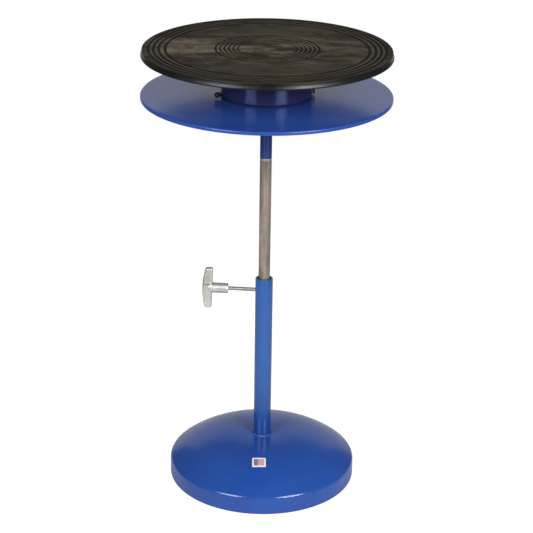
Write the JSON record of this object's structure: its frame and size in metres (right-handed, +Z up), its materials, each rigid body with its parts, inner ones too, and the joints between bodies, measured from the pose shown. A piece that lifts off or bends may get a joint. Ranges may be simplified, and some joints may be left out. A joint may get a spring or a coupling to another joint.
{
  "type": "sculpting turntable",
  "caption": "Height-adjustable floor stand with a domed base, sliding post with T-handle clamp, round shelf pan and ribbed revolving top.",
  "frame": {"origin": "on the floor under the middle of the base", "axes": "+Z up along the post; -X towards the T-handle; -Y towards the sticker on the base"},
  "size_m": [0.4604, 0.4604, 0.859],
  "materials": {
    "blue_paint": "glossy powder coat",
    "bare_steel": "drawn steel tube, slightly browned, painted blue near the pan",
    "bright_steel": "zinc plated or ground",
    "black_steel": "black enamel, satin",
    "cast_iron": "rough casting",
    "cast_aluminium": "tumbled die casting",
    "brass": "turned",
    "rubber": "matte moulded",
    "ribbed_black": "hard black rubber, ribbed and dusty on top, glossy at the edge",
    "nylon": "moulded nylon",
    "sticker": "printed paper sticker with a plain panel"
  },
  "bodies": {
    "base": {"base_shell": "blue_paint", "base_weld": "blue_paint", "ballast_plate": "cast_iron", "foot_1": "rubber", "foot_2": "rubber", "foot_3": "rubber", "foot_4": "rubber", "outer_tube": "blue_paint", "tube_plug": "bright_steel", "base_bolt": "bright_steel", "base_washer": "bright_steel", "label_sticker": "sticker"},
    "guide": {"post_guide": "nylon"},
    "post": {"post_tube": "bare_steel", "post_weld": "blue_paint", "post_flange": "blue_paint", "pan": "blue_paint", "hub": "cast_iron", "hub_bolt_1": "bright_steel", "hub_bolt_2": "bright_steel", "hub_bolt_3": "bright_steel", "hub_bolt_4": "bright_steel", "radial_outer_race": "bright_steel", "thrust_washer_lower": "bright_steel"},
    "radial_balls": {"radial_cage": "brass"},
    "thrust_balls": {"thrust_cage": "brass"},
    "turntable": {"spindle": "bright_steel", "spindle_nut": "bright_steel", "spindle_washer": "bright_steel", "radial_inner_race": "bright_steel", "thrust_washer_upper": "bright_steel", "turntable_plate": "black_steel", "turntable_cover": "ribbed_black", "plate_bolt_1": "bright_steel", "plate_bolt_2": "bright_steel", "plate_bolt_3": "bright_steel", "plate_bolt_4": "bright_steel", "skirt": "blue_paint", "skirt_screw_1": "black_steel", "skirt_screw_2": "black_steel", "skirt_screw_3": "black_steel", "lock_nut": "blue_paint"},
    "lock_tip": {"lock_pad": "nylon"},
    "lock": {"lock_screw": "black_steel"},
    "clamp_tip": {"clamp_pad": "brass"},
    "clamp": {"clamp_screw": "bright_steel", "clamp_handle": "cast_aluminium", "clamp_pin": "bright_steel"}
  },
  "joints": [
    {"name": "post_slide", "type": "slide", "parent": "base", "child": "guide", "axis": [0, 0, 1], "range_m": [-0.225, 0.09]},
    {"name": "post_turn", "type": "hinge", "parent": "guide", "child": "post", "pos_m": [0, 0, 0.5], "axis": [0, 0, 1], "continuous": true},
    {"name": "turntable_spin", "type": "hinge", "parent": "post", "child": "turntable", "pos_m": [0, 0, 0.84], "axis": [0, 0, 1], "continuous": true},
    {"name": "radial_balls_roll", "type": "hinge", "parent": "post", "child": "radial_balls", "pos_m": [0, 0, 0.791], "axis": [0, 0, 1], "continuous": true},
    {"name": "thrust_balls_roll", "type": "hinge", "parent": "post", "child": "thrust_balls", "pos_m": [0, 0, 0.833], "axis": [0, 0, 1], "continuous": true},
    {"name": "lock_travel", "type": "slide", "parent": "turntable", "child": "lock_tip", "axis": [-0.9205, -0.3907, 0], "range_m": [-0.0007, 0.002]},
    {"name": "lock_turn", "type": "hinge", "parent": "lock_tip", "child": "lock", "pos_m": [-0.07746, -0.03288, 0.782], "axis": [-0.9205, -0.3907, 0], "range_deg": [-258, 726]},
    {"name": "clamp_travel", "type": "slide", "parent": "base", "child": "clamp_tip", "axis": [-0.9993, 0, 0.0384], "range_m": [0, 0.00282]},
    {"name": "clamp_turn", "type": "hinge", "parent": "clamp_tip", "child": "clamp", "pos_m": [-0.0167, 0, 0.388], "axis": [-0.9993, 0, 0.0384], "range_deg": [-3, 726]}
  ],
  "couplings": [
    {"joint": "radial_balls_roll", "follows": "turntable_spin", "ratio": 0.435},
    {"joint": "thrust_balls_roll", "follows": "turntable_spin", "ratio": 0.5},
    {"joint": "lock_turn", "follows": "lock_travel", "rad_per_m": 6283.2},
    {"joint": "clamp_turn", "follows": "clamp_travel", "rad_per_m": 4452.7}
  ]
}
